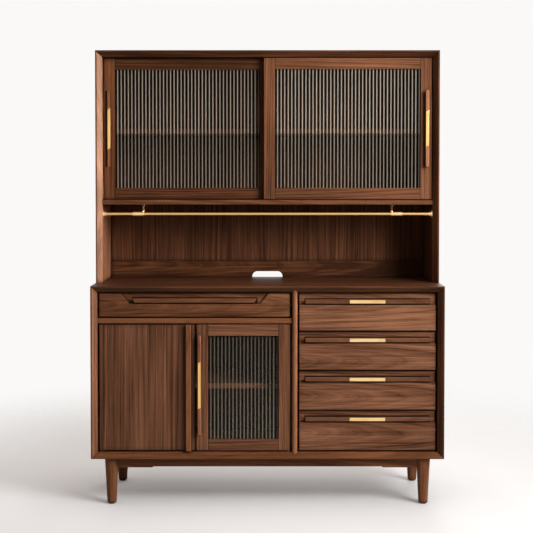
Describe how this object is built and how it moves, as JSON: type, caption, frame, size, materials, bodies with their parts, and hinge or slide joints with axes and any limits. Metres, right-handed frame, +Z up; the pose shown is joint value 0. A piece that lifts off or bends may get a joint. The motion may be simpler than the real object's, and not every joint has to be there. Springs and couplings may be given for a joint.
{
  "type": "kitchen dresser",
  "caption": "Walnut kitchen dresser: base with drawers and hinged doors on turned legs, and a hutch with sliding reeded-glass doors over an open niche with a brass hanging rail.",
  "frame": {"origin": "floor level below the middle of the dresser", "axes": "+X to the right of someone facing it, +Y towards its back, +Z up"},
  "size_m": [1.4, 0.4, 1.82],
  "materials": {
    "walnut": "satin oiled walnut",
    "drawer_wood": "plain sanded wood",
    "brass": "brushed warm brass",
    "reeded_glass": "reeded",
    "pin_steel": "plain",
    "glide_plastic": "matt"
  },
  "bodies": {
    "carcass": {"front_legs": "walnut", "rear_legs": "walnut", "front_apron": "walnut", "rear_apron": "walnut", "side_aprons": "walnut", "base_left_side": "walnut", "base_right_side": "walnut", "countertop": "walnut", "base_bottom": "walnut", "base_back": "walnut", "centre_divider": "walnut", "drawer_rail": "walnut", "base_shelf": "walnut", "hutch_left_side": "walnut", "hutch_right_side": "walnut", "hutch_top": "walnut", "hutch_floor": "walnut", "hutch_shelf": "walnut", "shelf_cleats": "walnut", "hutch_back": "walnut", "backsplash": "walnut", "drawer_runners": "drawer_wood", "hutch_dowels": "drawer_wood", "hanging_rail": "brass", "rail_brackets": "brass", "door_pivots": "pin_steel", "foot_glides": "glide_plastic"},
    "wide_drawer": {"wide_drawer_front": "walnut", "wide_drawer_pull": "walnut", "wide_drawer_box": "drawer_wood"},
    "left_door": {"left_door_panel": "walnut", "left_door_batten": "walnut"},
    "glass_door": {"glass_door_frame": "walnut", "glass_door_glass": "reeded_glass", "glass_door_pull": "walnut", "glass_door_inlay": "brass"},
    "sliding_left": {"sliding_left_frame": "walnut", "sliding_left_glass": "reeded_glass", "sliding_left_pull": "walnut", "sliding_left_inlay": "brass"},
    "sliding_right": {"sliding_right_frame": "walnut", "sliding_right_glass": "reeded_glass", "sliding_right_pull": "walnut", "sliding_right_inlay": "brass"},
    "drawer_1": {"drawer_1_front": "walnut", "drawer_1_pull": "walnut", "drawer_1_inlay": "brass", "drawer_1_box": "drawer_wood"},
    "drawer_2": {"drawer_2_front": "walnut", "drawer_2_pull": "walnut", "drawer_2_inlay": "brass", "drawer_2_box": "drawer_wood"},
    "drawer_3": {"drawer_3_front": "walnut", "drawer_3_pull": "walnut", "drawer_3_inlay": "brass", "drawer_3_box": "drawer_wood"},
    "drawer_4": {"drawer_4_front": "walnut", "drawer_4_pull": "walnut", "drawer_4_inlay": "brass", "drawer_4_box": "drawer_wood"}
  },
  "joints": [
    {"name": "wide_drawer_slide", "type": "slide", "parent": "carcass", "child": "wide_drawer", "axis": [0, -1, 0], "range_m": [0, 0.25]},
    {"name": "drawer_1_slide", "type": "slide", "parent": "carcass", "child": "drawer_1", "axis": [0, -1, 0], "range_m": [0, 0.25]},
    {"name": "drawer_2_slide", "type": "slide", "parent": "carcass", "child": "drawer_2", "axis": [0, -1, 0], "range_m": [0, 0.25]},
    {"name": "drawer_3_slide", "type": "slide", "parent": "carcass", "child": "drawer_3", "axis": [0, -1, 0], "range_m": [0, 0.25]},
    {"name": "drawer_4_slide", "type": "slide", "parent": "carcass", "child": "drawer_4", "axis": [0, -1, 0], "range_m": [0, 0.25]},
    {"name": "left_door_hinge", "type": "hinge", "parent": "carcass", "child": "left_door", "pos_m": [-0.661, -0.174, 0.469], "axis": [0, 0, -1], "range_deg": [0, 100]},
    {"name": "glass_door_hinge", "type": "hinge", "parent": "carcass", "child": "glass_door", "pos_m": [0.0825, -0.174, 0.469], "axis": [0, 0, 1], "range_deg": [0, 90]},
    {"name": "sliding_left_slide", "type": "slide", "parent": "carcass", "child": "sliding_left", "axis": [1, 0, 0], "range_m": [0, 0.65]},
    {"name": "sliding_right_slide", "type": "slide", "parent": "carcass", "child": "sliding_right", "axis": [-1, 0, 0], "range_m": [0, 0.65]}
  ]
}
